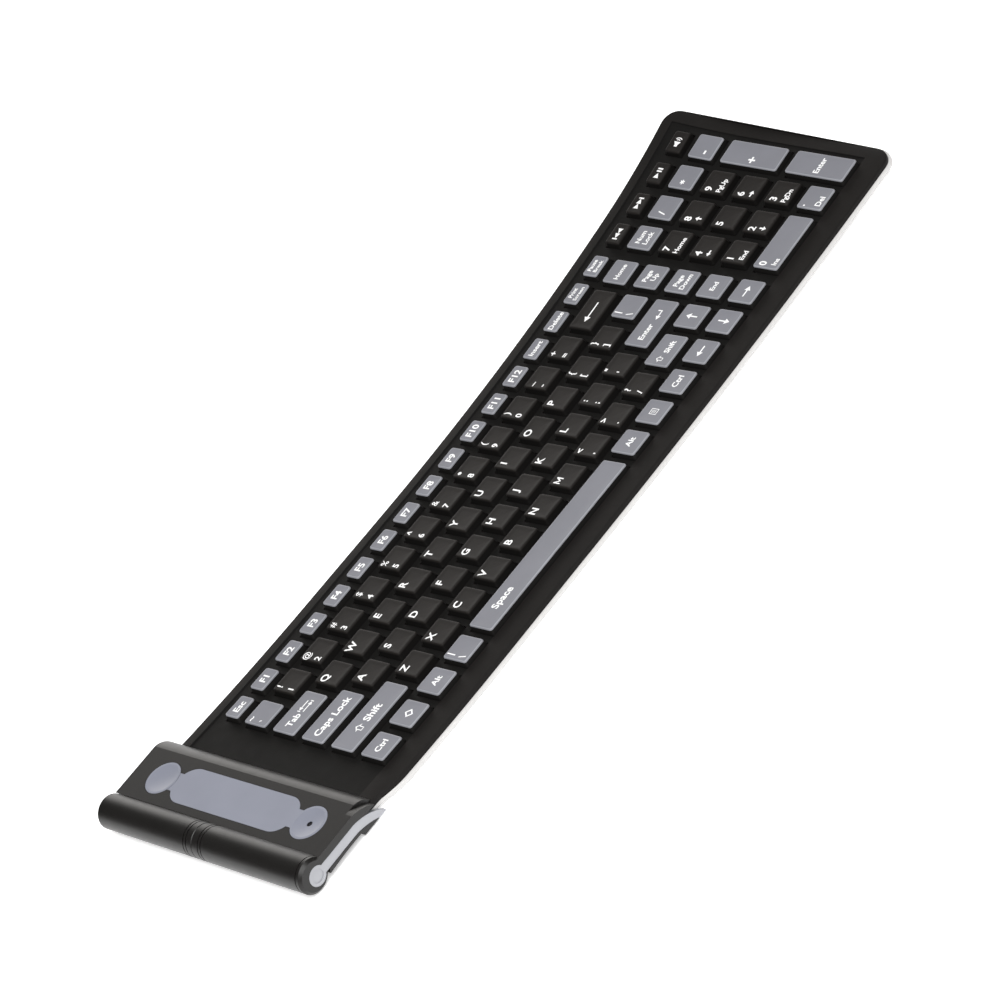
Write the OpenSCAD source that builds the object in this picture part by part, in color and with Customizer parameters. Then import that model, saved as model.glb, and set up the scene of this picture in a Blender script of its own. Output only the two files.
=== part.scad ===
// Roll-up silicone keyboard: a flexible mat of 107 keys, clamped into a housing with a battery tube.
// Millimetres. +X runs from the battery tube to the number pad, +Y to the function row, +Z up.
// The mat lies as it does after it has been unrolled: a little raised where it enters the housing,
// flat in the middle, and gently curled and twisted up towards the far rear corner.

/* [Keys] */
// Width of a single key at its top
key_w = 12.8; // [11:0.1:15.4]
// Depth of a single key at its top
key_d = 13.2; // [11:0.1:15.8]
// Width of a function key at its top
fn_key_w = 11.4; // [10:0.1:13.6]
// Depth of a function key at its top
fn_key_d = 8.0; // [6.5:0.1:9.6]
// Spacing of the letter and number columns
letter_pitch = 18.05; // [17:0.05:21.7]
// Spacing of the navigation, arrow and number pad columns
key_pitch = 17.9; // [17:0.1:21.5]
// Spacing of the modifier keys left of the space bar
modifier_pitch = 18.2; // [17:0.1:21.9]
// Spacing of the key rows
row_pitch = 18.4; // [17.5:0.1:22.1]
// Spacing from the number row to the function row
fn_row_gap = 16.0; // [15:0.1:19.2]
// Height of the key tops above the key field
key_h = 3.2; // [2.4:0.1:3.9]
// Thickness of the grey top of a key
cap_t = 0.8; // [0.5:0.1:1.1]
// Travel of a key
key_travel = 1.0; // [0.5:0.1:1.2]
// Slope of the key walls, out per unit of height
key_draft = 0.16; // [0:0.01:0.2]
// Play between a key and its opening in the skin
key_play = 0.35; // [0.25:0.05:0.5]

/* [Key places along the mat, from the centre of the Esc key] */
// Centre of the first number key
number_start = 18.9; // [18:0.1:22.7]
// Centre of the first key of the upper letter row
upper_start = 27.8; // [26:0.1:33]
// Centre of the first key of the home row
home_start = 32.6; // [30:0.1:39]
// Centre of the first key of the lower letter row
lower_start = 41.9; // [40:0.1:50]
// Width of the backspace key together with the gap beside it
backspace_span = 27.5; // [23:0.1:33]
// Extra space between the navigation column and the number pad
pad_space = 2.6; // [2:0.1:4]

/* [Mat] */
// Margin from the centre of the front key row to the front edge
front_margin = 18.6; // [17:0.1:22.3]
// Margin from the centre of the function row to the rear edge
rear_margin = 16.4; // [14:0.1:19.6]
// Margin from the centre of the last key column to the far edge
far_margin = 17.3; // [15:0.1:20.7]
// Radius of the far corners
corner_r = 8.5; // [4:0.1:10.2]
// Thickness of the pale base skin
base_t = 1.8; // [1.2:0.1:2.2]
// Thickness of the printed membrane
film_t = 0.4; // [0.2:0.05:0.5]
// Thickness of the black top skin in the key field
skin_t = 1.8; // [1.5:0.1:2.2]
// Height of the border above the key field
rim_h = 0.5; // [0.2:0.1:0.8]
// Width of the border along the front edge
rim_w = 11.2; // [9:0.1:13.4]
// Width of the border along the rear edge
rear_rim_w = 5.4; // [4:0.1:6.4]
// Width of the ledge of the base skin all round the black skin
flange_w = 1.2; // [0.6:0.1:1.4]
// Gap between neighbouring stretches of the mat at a fold line
fold_gap = 0.4; // [0.3:0.05:0.6]

/* [Rest shape] */
// Radius of the rise towards the housing
near_r = 1600; // [1300:10:3000]
// Place along the mat where that rise ends
near_end = 60; // [50:1:70]
// Radius of the curl towards the far end
far_r = 2000; // [1600:10:4000]
// Place along the mat where the curl begins
far_start = 115; // [95:1:140]
// Twist of the far edge, rear side up
twist_end = 7.3; // [0:0.1:8.7]
// Place along the mat where the twist begins
twist_start = 105; // [90:1:140]
// Extra height of the far rear corner
curl_h = 3.4; // [0:0.1:4]
// Place along the mat where that corner begins to rise
curl_start = 290; // [280:1:320]

/* [Housing] */
// How much longer each half of the housing is than half the mat's width
housing_margin = 3.2; // [2.7:0.1:3.8]
// How far the housing's middle lies behind the mat's middle
housing_shift = 3.2; // [2:0.1:3.8]
// Outer radius of the battery tube
tube_r = 7.5; // [7.5:0.1:8]
// Wall of the shells
wall = 1.6; // [1.2:0.1:1.9]
// Height of the saddle above the table
saddle_top = 11.7; // [11.7:0.1:13]
// Radius of the rounded nose over the mat's end
nose_r = 9.6; // [9:0.1:10]
// Thickness of the side trims
trim_t = 2.2; // [1.5:0.1:2.6]
// Thickness of the inlay
inlay_t = 1.1; // [0.8:0.1:1.2]
// Radius of the inlay's end discs
disc_r = 8.4; // [7:0.1:9]
// Distance of each end disc from the middle of the housing
disc_y = 46.6; // [44:0.1:52]
// Half length of the inlay's long body
inlay_half = 38; // [34:0.5:40]
// Width of the inlay's long body
inlay_w = 18.2; // [15:0.1:18.6]
// Travel of the power button
button_travel = 0.4; // [0.2:0.05:0.5]

/* [Batteries] */
// Radius of an AAA cell
cell_r = 5.25; // [5:0.05:5.25]
// Length of an AAA cell with its nub
cell_l = 44.5; // [40:0.5:44.5]
// Wall of the liner tube
barrel_wall = 0.6; // [0.4:0.1:0.6]
// Running clearance of the battery cap on the liner
cap_fit = 0.05; // [0.02:0.01:0.1]

/* [Hidden] */
$fn = 64;

black = [0.17, 0.16, 0.155];
key_black = [0.2, 0.195, 0.19];
shell_black = [0.19, 0.18, 0.17];
grey = [0.55, 0.56, 0.60];
inlay_grey = [0.56, 0.57, 0.62];
pale = [0.86, 0.85, 0.83];
trim_grey = [0.80, 0.80, 0.82];

// ---------- rest shape of the mat ----------
deg = 180 / PI;
flat_x = near_r * sin(near_end / near_r * deg);
// Pitch of the mat at the place s along it, in degrees
function pitch(s) = s < near_end ? (s - near_end) / near_r * deg
  : s > far_start ? (s - far_start) / far_r * deg : 0;
// Distance along the table and height of the mat's underside on its centre line
function run(s) = s < near_end ? flat_x + near_r * sin(pitch(s))
  : flat_x + (s > far_start ? far_start - near_end + far_r * sin(pitch(s)) : s - near_end);
function lift(s) = s < near_end ? near_r * (1 - cos(pitch(s)))
  : s > far_start ? far_r * (1 - cos(pitch(s))) : 0;
function twist(s) = s > twist_start ? twist_end * pow((s - twist_start) / (far_edge - twist_start), 2) : 0;
// Slope that the twist adds at y across the mat, in degrees
function skew(s, y) = s > twist_start
  ? atan(y * 2 * twist_end * (s - twist_start) / pow(far_edge - twist_start, 2) / deg + curl(s, y)
         * 2 / max(s - curl_start, 1)) : 0;
// Rise of the far rear corner, and the slope across the mat that it adds, in degrees
function curl(s, y) = s > curl_start && y > 0
  ? curl_h * pow(2 * y / mat_w * (s - curl_start) / (far_edge - curl_start), 2) : 0;
function roll(s, y) = atan(curl(s, y) * 2 / max(y, 1));
// A point of the mat: s along it, y across it, n above its underside
function at(s, y, n) =
  let (r = twist(s), p = pitch(s), up = y * sin(r) + n * cos(r))
  [run(s) - up * sin(p), y * cos(r) - n * sin(r), lift(s) + up * cos(p) + curl(s, y)];

// ---------- levels above the underside ----------
film_n = base_t + film_t;
field_n = film_n + skin_t;
rim_n = field_n + rim_h;
key_n = field_n + key_h;
key_foot_n = film_n + key_travel + 0.45;
cap_n = key_n - cap_t;
edge_chamfer = 0.5;

// ---------- key layout ----------
gap_x = key_pitch - key_w;
backspace_w = backspace_span - gap_x;
mat_w = front_margin + 4 * row_pitch + fn_row_gap + rear_margin;
row = [for (k = [0:4]) front_margin - mat_w / 2 + k * row_pitch];
fn_row = row[4] + fn_row_gap;
left_edge = -key_w / 2;
main_edge = number_start + 11 * letter_pitch + key_w / 2 + gap_x + backspace_w;
nav_s = main_edge + gap_x + key_w / 2;
pad_s = nav_s + key_pitch + pad_space;
fn_pitch = (nav_s + 1.2) / 16;
far_edge = pad_s + 3 * key_pitch + far_margin;
function between(a, b, y) = [(a + b) / 2, y, b - a, key_d];
function single(s, y) = [s, y, key_w, key_d];
function small(s) = [s, fn_row, fn_key_w, fn_key_d];

esc = [small(0)];
tab = [between(left_edge, upper_start - key_w / 2 - gap_x, row[3])];
caps_lock = [between(left_edge, home_start - key_w / 2 - gap_x, row[2])];
left_shift = [between(left_edge, lower_start - key_w / 2 - gap_x, row[1])];
space = [between(3 * modifier_pitch + key_w / 2 + gap_x, nav_s - 5 * key_pitch - key_w / 2 - gap_x, row[0])];
backspace = [between(main_edge - backspace_w, main_edge, row[4])];
enter = [between(home_start + 10 * letter_pitch + key_w / 2 + gap_x, main_edge, row[2])];
right_shift = [between(lower_start + 9 * letter_pitch + key_w / 2 + gap_x,
                       main_edge - key_w - gap_x, row[1])];
functions = [for (k = [1:15]) small(k * fn_pitch)];
numbers = [for (k = [0:11]) single(number_start + k * letter_pitch, row[4])];
uppers = [for (k = [0:11]) single(upper_start + k * letter_pitch, row[3])];
homes = [for (k = [0:10]) single(home_start + k * letter_pitch, row[2])];
lowers = [for (k = [0:9]) single(lower_start + k * letter_pitch, row[1])];
modifiers = concat([for (k = [0:3]) single(k * modifier_pitch, row[0])],
                   [for (k = [3:5]) single(nav_s - k * key_pitch, row[0])]);
symbols = [single(0, row[4]), single(main_edge - key_w / 2, row[3])];
arrows = [for (k = [1:2]) single(nav_s - k * key_pitch, row[0]), single(nav_s - key_pitch, row[1])];
navigation = concat([small(16 * fn_pitch)], [for (k = [0:4]) single(nav_s, row[k])]);
pad_digits = concat([for (c = [0:1], k = [1:3]) single(pad_s + c * key_pitch, row[k])],
                    [for (c = [0:1]) small(pad_s + c * key_pitch)]);
pad_locks = [for (c = [0:1]) single(pad_s + c * key_pitch, row[4])];
pad_zero = [between(pad_s - key_w / 2, pad_s + key_pitch + key_w / 2, row[0])];
end_digits = concat([for (k = [1:3]) single(pad_s + 2 * key_pitch, row[k])],
                    [for (c = [2:3]) small(pad_s + c * key_pitch)]);
end_symbols = [single(pad_s + 2 * key_pitch, row[4]), single(pad_s + 3 * key_pitch, row[4]),
               single(pad_s + 2 * key_pitch, row[0])];
pad_plus = [[pad_s + 3 * key_pitch, (row[2] + row[3]) / 2, key_w, row_pitch + key_d]];
pad_enter = [[pad_s + 3 * key_pitch, (row[0] + row[1]) / 2, key_w, row_pitch + key_d]];

main_keys = concat(esc, tab, caps_lock, left_shift, space, backspace, enter, right_shift,
                   functions, numbers, uppers, homes, lowers, modifiers, symbols, arrows);
pad_keys = concat(pad_digits, pad_locks, pad_zero);
end_keys = concat(end_digits, end_symbols, pad_plus, pad_enter);

// ---------- fold lines: each runs between two key columns ----------
fold_root = -15;
fold_nav = (15 * fn_pitch + fn_key_w / 2 + nav_s - key_w / 2) / 2;
fold_pad = (16 * fn_pitch + fn_key_w / 2 + pad_s - key_w / 2) / 2;
fold_end = pad_s + 1.5 * key_pitch;
mat_start = -34;
field_start = -8;
field_end = far_edge - 6.6;

// ---------- housing ----------
housing_w = mat_w + 2 * housing_margin;
half = housing_w / 2;
tube_x = -63.2;
tube_z = tube_r;
nose_x = -32.2;
nose_z = saddle_top - nose_r;
flange_top = saddle_top + 0.3;
flange_l = 3.8;
arch_r = 150;
arch_top = 3.0;
floor_t = 1.4;
trim_top = 8.6;
trim_low = 4.35;
inlay_x = -43.9;
clamp_x = -31;
seam_y = 2;
cap_gap = 0.15;
barrel_r = cell_r + 0.15 + barrel_wall;
barrel_front = -half + 4.5;
cell_front = -49.5;
spring_l = 10.5;
cap_floor = cell_front + 2 * cell_l + spring_l + 0.4;
board_z = 5.7;
board_t = 1.0;
screw_x = -45;
screw_ys = [-56, -20, 20, 56];
origin_x = (tube_x - tube_r + at(far_edge + flange_w, corner_r - mat_w / 2, edge_chamfer)[0]) / 2;
origin_y = (half + housing_shift - mat_w / 2 - flange_w) / 2;

module place() {
  translate([-origin_x, -origin_y, 0]) children();
}

module place_housing() {
  place() translate([0, housing_shift, 0]) children();
}

// Places a thing on the mat's underside at s and y, square to the mat there
module on_mat(s, y) {
  translate(at(s, y, 0)) rotate([0, -pitch(s), 0]) rotate([twist(s) + roll(s, y), 0, 0])
    rotate([0, -skew(s, y), 0]) children();
}

// Extrudes a profile drawn in X and Z from y0 to y1
module along_y(y0, y1) {
  translate([0, y1, 0]) rotate([90, 0, 0]) linear_extrude(height = y1 - y0) children();
}

// ---------- mat skins ----------
root_narrowing = 2.4;
function half_w(s) =
  s < -8 ? mat_w / 2 - root_narrowing * pow(min(1, (-8 - s) / 13), 1.6)
  : s > far_edge - corner_r ? mat_w / 2 - corner_r + arc_w(corner_r, s) : mat_w / 2;
function base_half(s) =
  s < -8 ? half_w(s) + flange_w * max(0, 1 + (s + 8) / 13)
  : s > far_edge - corner_r ? mat_w / 2 - corner_r + arc_w(corner_r + flange_w, s) : mat_w / 2 + flange_w;
function arc_w(r, s) = sqrt(max(0, pow(r, 2) - pow(s - far_edge + corner_r, 2)));
function steps(a, b, n) = [for (i = [0:n]) a + (b - a) * i / n];
function far_steps() = [for (a = [30:15:90]) far_edge - corner_r + corner_r * sin(a)];

// Sweeps cross-sections along the mat. Each is a row of columns [y, lowest n, highest n].
module sweep_mat(places, sections) {
  m = len(sections[0]);
  w = 2 * m;
  last = len(places) - 1;
  cap = [for (j = [0:m - 2]) [j, j + 1, w - 2 - j, w - 1 - j]];
  polyhedron(
    points = [for (i = [0:last]) each concat(
      [for (j = [0:m - 1]) at(places[i], sections[i][j][0], sections[i][j][1])],
      [for (j = [m - 1:-1:0]) at(places[i], sections[i][j][0], sections[i][j][2])])],
    faces = concat(cap, [for (q = cap) [for (k = [3:-1:0]) last * w + q[k]]],
      [for (i = [0:last - 1], j = [0:w - 1], t = [0:1])
        let (k = (j + 1) % w, p = i * w, q = p + w, low = j < m)
        t == 0 ? [p + j, q + j, low ? q + k : p + k] : [low ? p + j : q + j, q + k, p + k]]));
}

// Columns that the skins and the membrane share, from front to rear, kept inside the half width h
film_half = mat_w / 2 - corner_r * 0.5 - 4;
front_rim = mat_w / 2 - rim_w;
rear_rim = mat_w / 2 - rear_rim_w;
function inner_columns(h) = concat(
  [for (i = [0:3]) -min([film_half + 0.1, film_half, front_rim + 0.4, front_rim][i], h - 0.1 * i)],
  [-34, -17, 0, 17, 34],
  [for (i = [0:3]) min([film_half, film_half + 0.1, rear_rim, rear_rim + 0.4][i], h - 0.3 + 0.1 * i)]);
function top_section(s) =
  let (h = half_w(s), e = edge_chamfer, in_field = s >= field_start && s <= field_end)
  concat([[-h, film_n, rim_n - e], [-h + e, film_n, rim_n]],
    [for (y = inner_columns(h - 2 * e))
      [y, film_n, in_field && y > -front_rim - 0.2 && y < rear_rim + 0.2 ? field_n : rim_n]],
    [[h - e, film_n, rim_n], [h, film_n, rim_n - e]]);
function base_section(s) =
  let (h = base_half(s), e = edge_chamfer, top_h = half_w(s), f = min(top_h, h - e - 0.1),
       i = min(top_h - e, h - e - 0.2))
  concat([[-h, e, film_n], [-h + e, 0, film_n], [-f, 0, film_n], [-i, 0, film_n]],
    [for (y = inner_columns(top_h - 2 * e))
      [y, 0, s <= field_end && abs(y) < film_half + 0.05 ? base_t : film_n]],
    [[i, 0, film_n], [f, 0, film_n], [h - e, 0, film_n], [h, e, film_n]]);
function film_section(s) =
  [for (y = inner_columns(mat_w)) if (abs(y) < film_half + 0.05) [y, base_t, film_n]];

module top_skin(places, keys) {
  color(black) place() difference() {
    sweep_mat(places, [for (s = places) top_section(s)]);
    for (k = keys)
      on_mat(k[0], k[1]) translate([0, 0, field_n]) cube([foot(k[2]), foot(k[3]), 4 * skin_t], center = true);
  }
}
// Width of a key's opening, from its width at the top
function foot(w) = w + 2 * key_draft * (key_n - key_foot_n) + 2 * key_play;

module base_skin(places) {
  color(pale) place() sweep_mat(places, [for (s = places) base_section(s)]);
}

module membrane(places) {
  color([0.75, 0.8, 0.78]) place() sweep_mat(places, [for (s = places) film_section(s)]);
}

g = fold_gap / 2;
field_in = [field_start - 0.4, field_start];
field_out = [field_end, field_end + 0.4];
root_places = [mat_start, -29, -25, -21, -18, fold_root - g];
main_places = concat([fold_root + g, -12, -10], field_in, steps(7, fold_nav - g, 16));
nav_places = steps(fold_nav + g, fold_pad - g, 2);
pad_places = steps(fold_pad + g, fold_end - g, 4);
end_plain = steps(fold_end + g, far_edge - corner_r, 7);
end_places = concat(end_plain, field_out, far_steps());
end_base_places = concat(end_places, [for (a = [78, 90]) far_edge - corner_r + (corner_r + flange_w) * sin(a)]);
end_film_places = concat(end_plain, [field_end]);

module top_skin_root() top_skin(root_places, []);
module top_skin_main() top_skin(main_places, main_keys);
module top_skin_nav() top_skin(nav_places, navigation);
module top_skin_pad() top_skin(pad_places, pad_keys);
module top_skin_end() top_skin(end_places, end_keys);
module base_skin_root() base_skin(root_places);
module base_skin_main() base_skin(main_places);
module base_skin_nav() base_skin(nav_places);
module base_skin_pad() base_skin(pad_places);
module base_skin_end() base_skin(end_base_places);
module membrane_main() membrane(main_places);
module membrane_nav() membrane(nav_places);
module membrane_pad() membrane(pad_places);
module membrane_end() membrane(end_film_places);

// The membrane's end with the tail that reaches the circuit board
module membrane_root() {
  tail_n = lift(mat_start) + base_t;
  membrane(root_places);
  color([0.75, 0.8, 0.78]) place() along_y(-12, 12)
    polygon([[mat_start + 0.2, tail_n + 0.02], [-36.2, tail_n + 0.2], [-39.5, board_z - film_t - 0.05],
             [-43, board_z - film_t - 0.05], [-43, board_z - 0.05], [-39.3, board_z - 0.05],
             [-36, tail_n + 0.2 + film_t], [mat_start + 0.2, tail_n + film_t - 0.02]]);
}

// ---------- keys ----------
// One slice of a key with sloping walls, from level n0 to n1, its top edge broken by a chamfer
module key_slice(w, d, n0, n1, chamfer) {
  function side(size, n) = size / 2 + key_draft * (key_n - n);
  function outline(size) = [[-side(size, n0), n0], [side(size, n0), n0], [side(size, n1 - chamfer), n1 - chamfer],
    [side(size, n1) - chamfer, n1], [-side(size, n1) + chamfer, n1], [-side(size, n1 - chamfer), n1 - chamfer]];
  intersection() {
    along_y(-d, d) polygon(outline(w));
    rotate([0, 0, 90]) along_y(-w, w) polygon(outline(d));
  }
}

module black_keys(keys) {
  color(key_black) place()
    for (k = keys) on_mat(k[0], k[1]) key_slice(k[2], k[3], key_foot_n, key_n, 0.4);
}

module grey_keys(keys) {
  color(black) place()
    for (k = keys) on_mat(k[0], k[1]) key_slice(k[2], k[3], key_foot_n, cap_n, 0);
  color(grey) place()
    for (k = keys) on_mat(k[0], k[1]) key_slice(k[2], k[3], cap_n, key_n, 0.3);
}

module esc_key() grey_keys(esc);
module tab_key() grey_keys(tab);
module caps_lock_key() grey_keys(caps_lock);
module left_shift_key() grey_keys(left_shift);
module space_key() grey_keys(space);
module backspace_key() black_keys(backspace);
module enter_key() grey_keys(enter);
module right_shift_key() grey_keys(right_shift);
module function_keys() grey_keys(functions);
module number_keys() black_keys(numbers);
module upper_letter_keys() black_keys(uppers);
module home_row_keys() black_keys(homes);
module lower_letter_keys() black_keys(lowers);
module modifier_keys() grey_keys(modifiers);
module symbol_keys() grey_keys(symbols);
module arrow_keys() grey_keys(arrows);
module navigation_keys() grey_keys(navigation);
module pad_digit_keys() black_keys(pad_digits);
module pad_lock_keys() grey_keys(pad_locks);
module pad_zero_key() grey_keys(pad_zero);
module end_digit_keys() black_keys(end_digits);
module end_symbol_keys() grey_keys(end_symbols);
module pad_plus_key() grey_keys(pad_plus);
module pad_enter_key() grey_keys(pad_enter);

// ---------- housing profiles, drawn in X and Z ----------
// Area under a line at height z that bends down, past x, into an arc of radius r
module under_curve(x, z, r) {
  intersection() {
    translate([tube_x, -20]) square([80, z + 20]);
    union() {
      translate([tube_x - 1, -21]) square([x - tube_x + 1.5, z + 23]);
      translate([x, z - r + 0.1]) circle(r = r, $fn = 180);
    }
  }
}

// Everything under the saddle and the rounded nose, drawn in by inset
module cover_area(inset) {
  intersection() {
    under_curve(nose_x, saddle_top - inset, nose_r - inset);
    translate([tube_x, 0]) square([60, 30]);
  }
}

// The flatter nose of the border at the front end
module flange_area() {
  intersection() {
    under_curve(-38, flange_top, 18);
    translate([tube_x, 0]) square([60, 30]);
  }
}

// The slot through which the mat enters, from the given level above its underside
module under_mat(n) {
  polygon([[-36, -1], [-18, -1], [-18, lift(-18) + n], [-36, lift(-36) + n]]);
}

// Area of a side trim: a band that bends down to a point at the nose
module trim_area(grow) {
  difference() {
    intersection() {
      under_curve(-40, trim_top + grow, 24 + grow);
      translate([tube_x + tube_r + 0.25 - grow, 0.7 - grow]) square([60, 20]);
    }
    under_curve(-41, trim_low - grow, 30 - grow);
  }
}

module tube_at(y0, y1, r) {
  translate([tube_x, y1, tube_z]) rotate([90, 0, 0]) cylinder(r = r, h = y1 - y0, $fn = 96);
}

module groove_ring(y, depth) {
  difference() {
    tube_at(y - 0.25, y + 0.25, tube_r + 0.15);
    tube_at(y - 0.4, y + 0.4, tube_r - depth);
  }
}

// Outline of the inlay's long body with its round ends and the necks towards the discs
module bow(grow) {
  r = inlay_w / 2 + grow;
  straight = inlay_half - inlay_w / 2;
  neck = 4.5 + grow;
  for (side = [-1, 1]) translate([inlay_x, side * straight]) circle(r = r, $fn = 96);
  translate([inlay_x - r, -straight]) square([2 * r, 2 * straight]);
  translate([inlay_x - neck, -inlay_half - 1.8]) square([2 * neck, 2 * inlay_half + 3.6]);
}

module saddle_layer(top_inset, bottom_inset) {
  along_y(-half, half) difference() {
    cover_area(top_inset);
    cover_area(bottom_inset);
  }
}

module disc_column(y, r) {
  translate([inlay_x, y, 0]) cylinder(r = r, h = 20, $fn = 96);
}

module dish(y) {
  dish_r = 30;
  translate([inlay_x, y, saddle_top - 0.9 + dish_r]) sphere(r = dish_r, $fn = 96);
}

module top_shell() {
  color(shell_black) place_housing() difference() {
    union() {
      difference() {
        union() {
          along_y(-half, -half + flange_l) flange_area();
          along_y(-half + flange_l - 0.01, half) cover_area(0);
        }
        along_y(-half + flange_l + wall, half - trim_t - 1.2) cover_area(wall);
        for (side = [-1, 1])
          along_y(side * half - trim_t, side * half + trim_t) under_curve(-40, trim_top, 24);
        // Room for the bottom shell
        translate([tube_x - 1, -half - 1, -1])
          cube([mat_start - tube_x + 0.6, housing_w + 2, arch_top + floor_t + 1.05]);
      }
      translate([tube_x, -half + 1.2, tube_z]) rotate([90, 0, 0])
        cylinder(r1 = tube_r, r2 = tube_r - 1.2, h = 1.2, $fn = 96);
      tube_at(-half + 1.19, seam_y, tube_r);
      // Wall under the power button's ledge
      intersection() {
        disc_column(disc_y, disc_r + 1.6);
        saddle_layer(0, inlay_t + button_travel + 1.6);
      }
      for (y = screw_ys)
        translate([screw_x, y, board_z + board_t]) cylinder(r = 2.4, h = saddle_top - wall + 0.3 - board_z - board_t);
      // Ribs that press the clamp bar down
      for (y = [-40, 0, 40])
        translate([clamp_x - 2, y - 1, clamp_top]) cube([4, 2, saddle_top - wall + 0.2 - clamp_top]);
    }
    along_y(-half - 1, half + 1) under_mat(rim_n + 0.08);
    // Battery tube: bore for the liner, seat for the cap, hole for the trim's disc and neck
    tube_at(barrel_front, seam_y + 1, barrel_r + 0.02);
    tube_at(seam_y, half + 1, tube_r + cap_gap);
    along_y(-half - 1, -half + trim_t) trim_end(0.05);
    groove_ring(seam_y - 3.8, 0.35);
    groove_ring(seam_y - 5.6, 0.35);
    groove_ring(-half + 2.8, 0.35);
    // Line between the border at the front end and the ridge of the nose
    along_y(-half + flange_l - 0.3, -half + flange_l) difference() {
      translate([nose_x + 0.5, 6]) square([12, 10]);
      cover_area(0.9);
    }
    // Pocket for the inlay, the button and the lens
    intersection() {
      saddle_layer(-1, inlay_t);
      union() {
        linear_extrude(height = 30) bow(0.15);
        for (side = [-1, 1]) disc_column(side * disc_y, disc_r + 0.15);
      }
    }
    intersection() {
      saddle_layer(-1, inlay_t + button_travel + 0.25);
      disc_column(disc_y, disc_r + 0.15);
    }
    disc_column(disc_y, disc_r - 1.6);
    disc_column(-disc_y, 1.3);
    for (y = screw_ys)
      translate([screw_x, y, 0]) cylinder(r = screw_r, h = screw_tip_z + 0.2);
  }
}

clamp_top = lift(clamp_x) + rim_n + 1.4;
trim_disc_r = 4.3;
screw_r = 0.9;
screw_head_r = 1.9;
screw_head_t = 1.1;
screw_tip_z = 9.4;

// Arched underside plate, drawn in X and Z
module arch_area(low, high, end) {
  intersection() {
    difference() {
      translate([-43, arch_top - arch_r]) circle(r = arch_r + high, $fn = 128);
      translate([-43, arch_top - arch_r]) circle(r = arch_r + low, $fn = 128);
    }
    translate([tube_x + tube_r - 1.3, 0]) square([end - tube_x - tube_r + 1.3, 30]);
  }
}

module foot_area() {
  lip = -24;
  polygon([[-36, arch_top - 0.6], [-34.2, foot_z], [-27, foot_z], [lip, foot_z + 0.6], [lip, lift(lip) - 0.05],
           [mat_start - 0.4, lift(mat_start) - 0.05], [mat_start - 0.4, arch_top + floor_t - 0.3],
           [-36, arch_top + floor_t - 0.3]]);
}
foot_z = 0.9;

module bottom_shell() {
  color(shell_black) place_housing() difference() {
    union() {
      along_y(-half, half) {
        arch_area(0, floor_t, mat_start - 0.4);
        foot_area();
      }
      // Block that closes the nose beside the mat
      along_y(mat_w / 2 - root_narrowing + 0.25 - housing_shift, half - trim_t) intersection() {
        cover_area(0.05);
        difference() {
          under_mat(rim_n + 0.03);
          translate([-40, -2]) square([30, 2 + foot_z]);
        }
      }
      // Rim beside the battery tube
      along_y(-half + flange_l + wall + 0.1, half - trim_t - 1.3) translate([tube_x + tube_r - 1.3, 2.2]) square([2.8, 5.2]);
      // End rims under the side trims
      for (side = [-1, 1]) along_y(side * half - (side > 0 ? trim_t : 0), side * half + (side > 0 ? 0 : trim_t))
        intersection() {
          under_curve(-41, trim_low - 0.05, 29.95);
          union() {
            arch_area(0, 8, -28);
            translate([-36, foot_z]) square([9, 8]);
          }
        }
      for (y = screw_ys)
        translate([screw_x, y, arch_top + 0.5])
          cylinder(r = 2.4, h = board_z - arch_top - 0.5 + (abs(y) > 50 ? board_t - 0.02 : 0));
    }
    tube_at(-half - 1, half + 1, tube_r + cap_gap);
    for (side = [-1, 1])
      along_y(side * half - trim_t, side * half + trim_t) trim_area(0);
    for (y = screw_ys) {
      translate([screw_x, y, 0]) cylinder(r = screw_r + 0.2, h = 20);
      translate([screw_x, y, 0]) cylinder(r = screw_head_r + 0.2, h = arch_top + screw_head_t);
    }
  }
}

// The front trim's disc and the neck that joins it to the band
module trim_end(grow) {
  translate([tube_x + 1.2, tube_z - 1.1]) circle(r = trim_disc_r + grow);
  translate([tube_x + 1.2, trim_low - grow]) square([tube_r - 0.5, trim_top - trim_low + 2 * grow]);
}

module side_trim_front() {
  color(trim_grey) place_housing() {
    along_y(-half + 0.15, -half + trim_t - 0.02) difference() {
      union() {
        trim_area(-0.05);
        trim_end(0);
      }
      // The disc's middle, a little lower
      translate([tube_x + 1.2, tube_z - 1.1]) circle(r = 2.9);
    }
    along_y(-half + 0.5, -half + trim_t - 0.02) translate([tube_x + 1.2, tube_z - 1.1]) circle(r = 3.2);
  }
}

module side_trim_rear() {
  color(trim_grey) place_housing() along_y(half - trim_t + 0.02, half - 0.15) trim_area(-0.05);
}

module inlay_panel() {
  color(inlay_grey) place_housing() difference() {
    intersection() {
      saddle_layer(0, inlay_t - 0.02);
      union() {
        linear_extrude(height = 30) bow(0);
        disc_column(-disc_y, disc_r);
      }
    }
    disc_column(disc_y, disc_r + 0.2);
    dish(-disc_y);
    disc_column(-disc_y, 1.3);
  }
}

module power_button() {
  color(inlay_grey) place_housing() difference() {
    union() {
      intersection() {
        saddle_layer(0, inlay_t);
        disc_column(disc_y, disc_r - 0.05);
      }
      intersection() {
        saddle_layer(0.5, 2.6);
        disc_column(disc_y, disc_r - 1.8);
      }
    }
    dish(disc_y);
  }
}

module indicator_lens() {
  color([0.3, 0.32, 0.36]) place_housing() translate([inlay_x, -disc_y, board_z + board_t + 1.6])
    cylinder(r = 1.25, h = saddle_top - 1.3 - board_z - board_t - 1.6);
}

// ---------- battery tube ----------
module battery_barrel() {
  color([0.3, 0.3, 0.32]) place_housing() difference() {
    tube_at(barrel_front, cap_floor - 4, barrel_r);
    tube_at(cell_front - 0.9, cap_floor, cell_r + 0.15);
    tube_at(barrel_front - 1, cell_front - 2.4, cell_r + 0.15);
  }
}

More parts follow.
